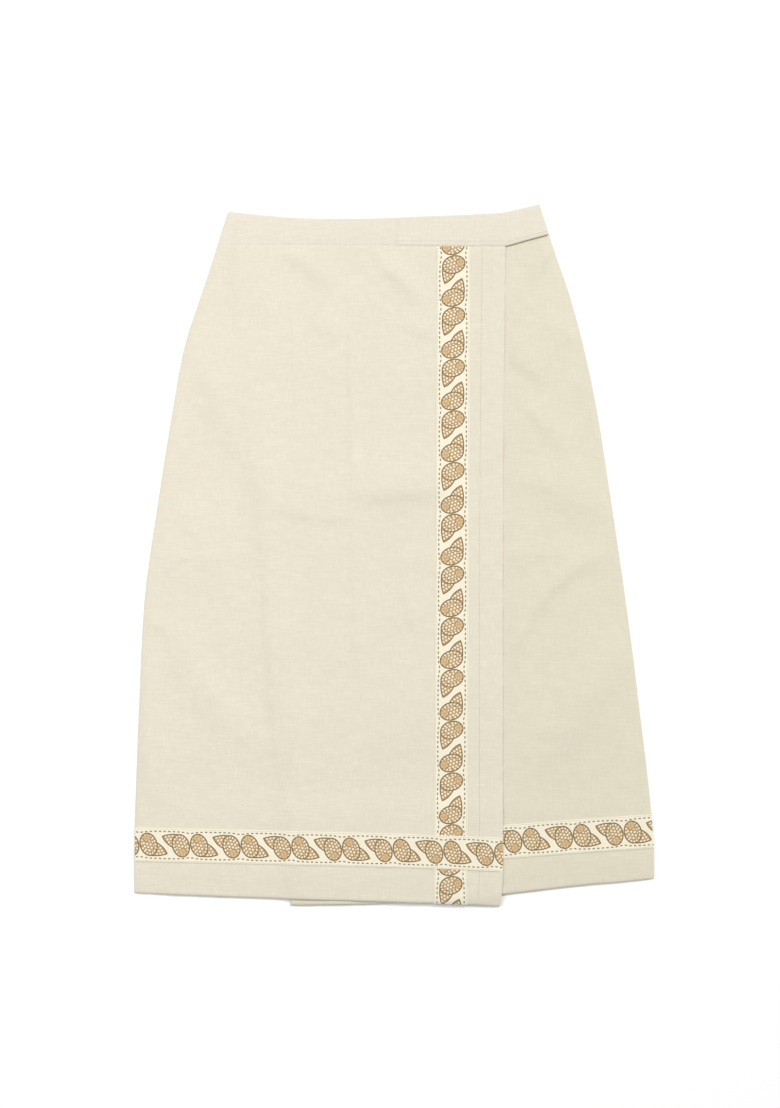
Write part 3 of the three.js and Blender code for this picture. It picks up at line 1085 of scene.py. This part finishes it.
class DHOTI_OT_topstitching(bpy.types.Operator):
    """Sews the rows of topstitching that show on the front"""

    bl_idname = "dhoti.topstitching"
    bl_label = "Topstitching"

    # Millimetres: the insets of the rows from the edges they follow, and where they start and end.
    ROW_STEP = 0.5
    FACING_INSET = -27
    FACING_ENDS = (-402, 355)
    BELOW_TAPE = -0.9
    TAPE_INSET = 1.3
    OVER_BAND_INSET = 1.8
    SEAM_INSET = 1.3
    UPPER_INSET = 6.0
    PAST_FREE_EDGE_INSET = 4.4
    JOIN_INSET = 2.6
    JOIN_ENDS = (362, 388)
    PALE_TO = 42
    DARK_FROM = 44
    BEFORE_FREE_EDGE = 127
    PAST_FREE_EDGE = 129
    CLOSE, NEAR, CLEAR = 1, 1.5, 2  # the gaps between the ends of rows and an edge or a seam

    def down(self, line, inset, low, high):
        """The X and Y of a row down a line that gives X at each Y."""
        y = np.arange(high * MM, low * MM, -self.ROW_STEP * MM)
        return line(y) + inset * MM, y

    def along(self, line, inset, low, high):
        """The X and Y of a row along a line that gives Y at each X."""
        x = np.arange(low * MM, high * MM, self.ROW_STEP * MM)
        return x, line(x) + inset * MM

    def execute(self, context):
        scene = context.scene
        over = Plan("front_over_wrap")
        on_over = self.tree("front_over_wrap")
        facing = self.down(over.right_at, self.FACING_INSET, *self.FACING_ENDS)
        self.sew(scene, "topstitching_facing", [(on_over, facing)])
        self.sew_hems(scene, over, on_over)
        self.sew_waistband(scene)
        self.sew_tapes(scene, over)
        return {"FINISHED"}

    @staticmethod
    def tree(node):
        return tree_of(bpy.data.objects[node + "_cloth"])

    def sew_hems(self, scene, over, on_over):
        start = over.left[0, 0] / MM + self.NEAR
        middle = over.right[0, 0] / MM
        end = Plan("front_under_wrap").right[0, 0] / MM - self.NEAR
        over_edge = Plan("border_tape_over_wrap").lower_at
        under_edge = Plan("border_tape_under_wrap").lower_at
        on_under = self.tree("front_under_wrap")
        self.sew(scene, "topstitching_hems", [
            (on_over, self.along(over_edge, self.BELOW_TAPE, start, middle - self.CLOSE)),
            (on_under, self.along(under_edge, self.BELOW_TAPE, middle + self.CLEAR, end)),
        ])

    def sew_waistband(self, scene):
        band = Plan("waistband_over_wrap")
        wrap_end = Plan("waistband_wrap_end")
        on_band = self.tree("waistband_over_wrap")
        on_end = self.tree("waistband_wrap_end")
        seam = wrap_end.lower_at
        start = band.left[0, 0] / MM + self.CLEAR
        join = wrap_end.left[:, 0].min() / MM
        stop = wrap_end.right[0, 0] / MM
        ends = stop - self.CLEAR
        self.sew(scene, "topstitching_waistband_pale", [
            (on_band, self.along(band.lower_at, self.OVER_BAND_INSET, start, join - self.CLOSE)),
            (on_end, self.along(seam, self.UPPER_INSET, join + self.NEAR, self.PALE_TO)),
            (on_end, self.down(lambda y: np.full_like(y, join * MM), self.JOIN_INSET, *self.JOIN_ENDS)),
        ], "pale_thread")
        # A dark brown row right on the wrap end's lower edge: painted shade that deepens the shadow
        # under that edge.
        self.sew(scene, "painted_shade_stitching_wrap_end", [
            (on_end, self.along(seam, 0, self.BEFORE_FREE_EDGE, stop - self.CLOSE)),
        ], "painted_shade_thread")
        self.sew(scene, "topstitching_waistband", [
            (on_end, self.along(seam, self.SEAM_INSET, join + self.NEAR, ends)),
            (on_end, self.along(seam, self.UPPER_INSET, self.DARK_FROM, self.BEFORE_FREE_EDGE)),
            (on_end, self.along(seam, self.PAST_FREE_EDGE_INSET, self.PAST_FREE_EDGE, ends)),
        ])

    def sew_tapes(self, scene, over):
        for node in ("border_tape_upright", "border_tape_over_wrap", "border_tape_under_wrap"):
            plan = Plan(node)
            if node == "border_tape_upright":
                edges = (plan.left_at, plan.right_at)
                ends = (plan.left[0, 1] / MM + self.CLEAR, plan.left[-1, 1] / MM - self.CLOSE)
                sewn = self.down
            else:
                edges = (plan.lower_at, plan.upper_at)
                first = plan.lower[0, 0] if node == "border_tape_over_wrap" else over.right_at(0.0)
                ends = (first / MM + self.CLEAR, plan.lower[-1, 0] / MM - self.CLEAR)
                sewn = self.along
            tree = self.tree(node)
            insets = (self.TAPE_INSET, -self.TAPE_INSET)
            rows = [(tree, sewn(line, inset, *ends)) for line, inset in zip(edges, insets)]
            self.sew(scene, node.replace("border_tape", "topstitching_tape"), rows)

    @staticmethod
    def one_stitch():
        """The points and faces of one stitch, along X."""
        deselect_all()
        bpy.ops.mesh.primitive_uv_sphere_add(segments=6, ring_count=4, radius=0.5)
        ball = bpy.context.object
        bpy.ops.object.mode_set(mode="EDIT")
        bpy.ops.mesh.select_all(action="SELECT")
        thickness = STITCH_THICKNESS * MM
        bpy.ops.transform.resize(value=(STITCH_LENGTH * MM, thickness, thickness))
        bpy.ops.object.mode_set(mode="OBJECT")
        points = np.array([v.co[:] for v in ball.data.vertices])
        faces = [list(p.vertices) for p in ball.data.polygons]
        bpy.data.objects.remove(ball)
        return points, faces

    @staticmethod
    def on_surface(tree, x, y):
        return np.column_stack([x, y, heights(tree, x, y)])

    def sew(self, scene, name, rows, thread="thread"):
        """One piece of stitches along rows of X and Y, each on the surface given with it."""
        stitch, stitch_faces = self.one_stitch()
        points = []
        faces = []
        for tree, (x, y) in rows:
            run = np.concatenate([[0], np.cumsum(np.hypot(np.diff(x), np.diff(y)))])
            middles = np.arange(STITCH_PITCH * MM / 2, run[-1], STITCH_PITCH * MM)
            starts, stops = [
                self.on_surface(tree, np.interp(places, run, x), np.interp(places, run, y))
                for places in (middles - STITCH_LENGTH * MM / 2, middles + STITCH_LENGTH * MM / 2)]
            for a, b in zip(starts, stops):
                way = (b - a) / np.linalg.norm(b - a)
                side = np.cross([0, 0, 1], way)
                side = side / np.linalg.norm(side)
                axes = np.array([way, side, np.cross(way, side)])
                middle = (a + b) / 2 + np.array([0, 0, STITCH_RISE * MM])
                before = len(points) * len(stitch)
                faces += [[index + before for index in face] for face in stitch_faces]
                points.append(stitch @ axes + middle)
        mesh = bpy.data.meshes.new(name)
        mesh.from_pydata(np.concatenate(points).tolist(), [], faces)
        mesh.update()
        piece = bpy.data.objects.new(name, mesh)
        scene.collection.objects.link(piece)
        deselect_all()
        piece.select_set(True)
        bpy.context.view_layer.objects.active = piece
        bpy.ops.object.shade_smooth()
        # The thread colours carry painted shade: the darker thread partly stands for seam puckering,
        # and the edge row for the shadow under the wrap end.
        colour = tuple(getattr(scene.dhoti_colours, thread))
        finish_piece(piece, material_named("sewing_" + thread, thread_material, colour))


class DHOTI_OT_stage(bpy.types.Operator):
    """Sets the pale floor, the soft studio lights and the camera straight above"""

    bl_idname = "dhoti.stage"
    bl_label = "Stage"

    CAMERA_MIDDLE = (-5.2, 1.2)  # millimetres
    FLOOR_SIZE = 9.0
    FLOOR_HEIGHT = -0.05 * MM
    KEY_PLACE = (2.7, 3.4, 4.6)
    KEY_SIZE = 1.6
    FILL_PLACE = (-1.1, 0.2, 1.45)
    FILL_SIZE = 0.9
    SENSOR_WIDTH = 36  # millimetres
    SEEN_TO = 50

    def execute(self, context):
        scene = context.scene
        stage = scene.dhoti_stage
        deselect_all()
        bpy.ops.mesh.primitive_plane_add(size=self.FLOOR_SIZE, location=(0, 0, self.FLOOR_HEIGHT))
        floor = context.object
        floor.name = "studio_floor"
        bpy.ops.object.transform_apply(location=True)
        floor.data.materials.append(floor_material())
        self.add_light("key_light", self.KEY_PLACE, self.KEY_SIZE, stage.key_power)
        self.add_light("fill_light", self.FILL_PLACE, self.FILL_SIZE, stage.fill_power)
        world = bpy.data.worlds.new("studio")
        world.use_nodes = True
        backdrop = world.node_tree.nodes["Background"]
        backdrop.inputs["Color"].default_value = (1, 1, 1, 1)
        backdrop.inputs["Strength"].default_value = stage.surround
        scene.world = world
        x, y = self.CAMERA_MIDDLE
        bpy.ops.object.camera_add(location=(x * MM, y * MM, stage.camera_height), rotation=(0, 0, 0))
        camera = context.object
        camera.name = "camera_above"
        camera.data.lens = stage.camera_lens
        camera.data.sensor_width = self.SENSOR_WIDTH
        camera.data.clip_end = self.SEEN_TO
        scene.camera = camera
        scene.view_settings.view_transform = "Standard"
        return {"FINISHED"}

    @staticmethod
    def add_light(name, place, size, power):
        """A square light that faces the middle of the garment."""
        deselect_all()
        bpy.ops.object.light_add(type="AREA", location=place)
        light = bpy.context.object
        light.name = name
        light.data.shape = "SQUARE"
        light.data.size = size
        light.data.energy = power
        light.rotation_euler = (-Vector(place)).to_track_quat("-Z", "Y").to_euler()


class DHOTI_PT_pieces(bpy.types.Panel):
    """The steps that make the dhoti, in order"""

    bl_idname = "DHOTI_PT_pieces"
    bl_label = "Wrap dhoti"
    bl_space_type = "VIEW_3D"
    bl_region_type = "UI"
    bl_category = "Dhoti"

    def draw(self, context):
        for step in STEPS:
            self.layout.operator(step.bl_idname)
        scene = context.scene
        for group in (scene.dhoti_cloth, scene.dhoti_colours, scene.dhoti_stage):
            column = self.layout.column()
            for name in group.__annotations__:
                column.prop(group, name)


STEPS = (
    DHOTI_OT_stage,
    DHOTI_OT_back_panel,
    DHOTI_OT_front_panels,
    DHOTI_OT_waistband,
    DHOTI_OT_border_tapes,
    DHOTI_OT_topstitching,
)
CLASSES = (DhotiCloth, DhotiColours, DhotiStage, *STEPS, DHOTI_PT_pieces)


def register():
    for each in CLASSES:
        bpy.utils.register_class(each)
    bpy.types.Scene.dhoti_cloth = PointerProperty(type=DhotiCloth)
    bpy.types.Scene.dhoti_colours = PointerProperty(type=DhotiColours)
    bpy.types.Scene.dhoti_stage = PointerProperty(type=DhotiStage)


def unregister():
    del bpy.types.Scene.dhoti_stage
    del bpy.types.Scene.dhoti_colours
    del bpy.types.Scene.dhoti_cloth
    for each in reversed(CLASSES):
        bpy.utils.unregister_class(each)


def main():
    register()
    bpy.ops.dhoti.stage()
    bpy.ops.dhoti.back_panel()
    bpy.ops.dhoti.front_panels()
    bpy.ops.dhoti.waistband()
    bpy.ops.dhoti.border_tapes()
    bpy.ops.dhoti.topstitching()


if __name__ == "__main__":
    main()
